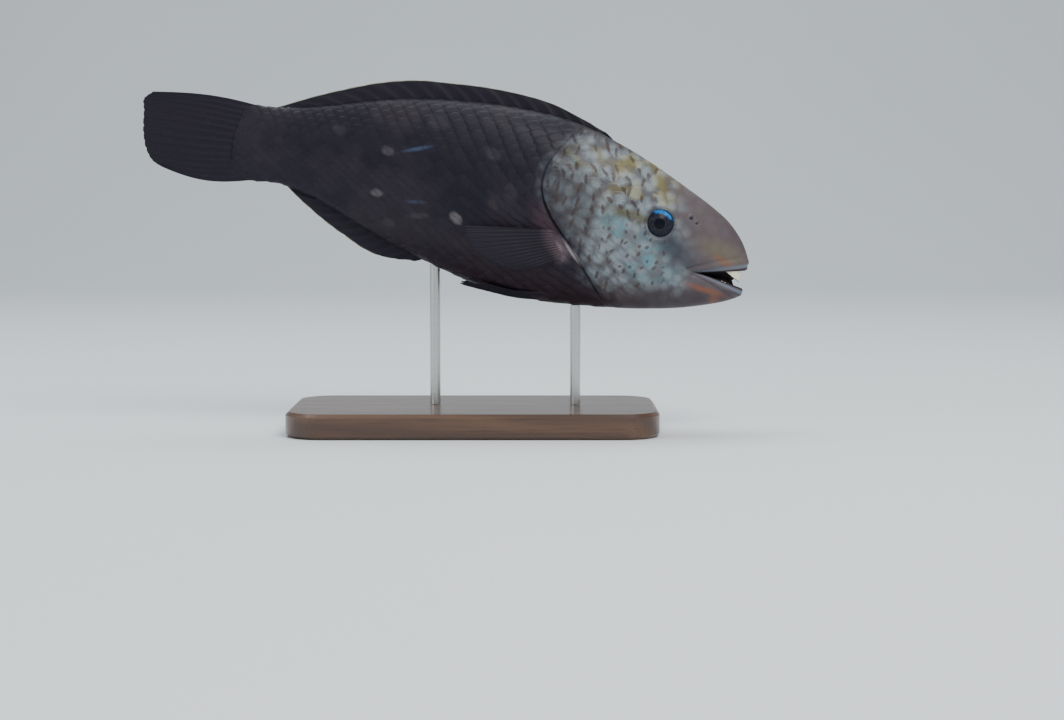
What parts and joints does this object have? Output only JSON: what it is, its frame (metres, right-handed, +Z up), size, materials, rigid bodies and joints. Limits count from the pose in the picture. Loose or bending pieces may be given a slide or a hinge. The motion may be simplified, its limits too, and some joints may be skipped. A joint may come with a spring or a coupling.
{
  "type": "parrotfish",
  "caption": "Life-size still model of a dark parrotfish with a pale speckled head, nosing down with its fins folded, held by rods on a flat wooden base.",
  "frame": {"origin": "underside of the base at z = 0, below the middle of the whole model's bounding box", "axes": "+X towards the fish's head, which is tipped nose down; +Y the fish's left; +Z up"},
  "size_m": [0.2918, 0.088, 0.1676],
  "materials": {
    "skin": "wet scales, dark purplish brown with few pale spots",
    "face": "wet skin, pale grey with brown dashes and turquoise tints",
    "fin": "thin dark membrane over ridged rays",
    "beak": "smooth cream tooth plate",
    "eye": "clear and glossy over a dark iris with a blue upper rim",
    "wood": "dark satin varnish",
    "steel": "satin"
  },
  "bodies": {
    "root": {"anal_fin": "fin", "beak_lower": "beak", "beak_upper": "beak", "caudal_fin": "fin", "dorsal_fin": "fin", "eye_left": "eye", "eye_right": "eye", "gill_cover_left": "face", "gill_cover_right": "face", "head": "face", "lower_jaw": "face", "pectoral_fin_left": "fin", "pectoral_fin_right": "fin", "pelvic_fin_left": "fin", "pelvic_fin_right": "fin", "stand_base": "wood", "stand_rod_front": "steel", "stand_rod_rear": "steel", "tail_root": "skin", "trunk": "skin"}
  },
  "joints": []
}
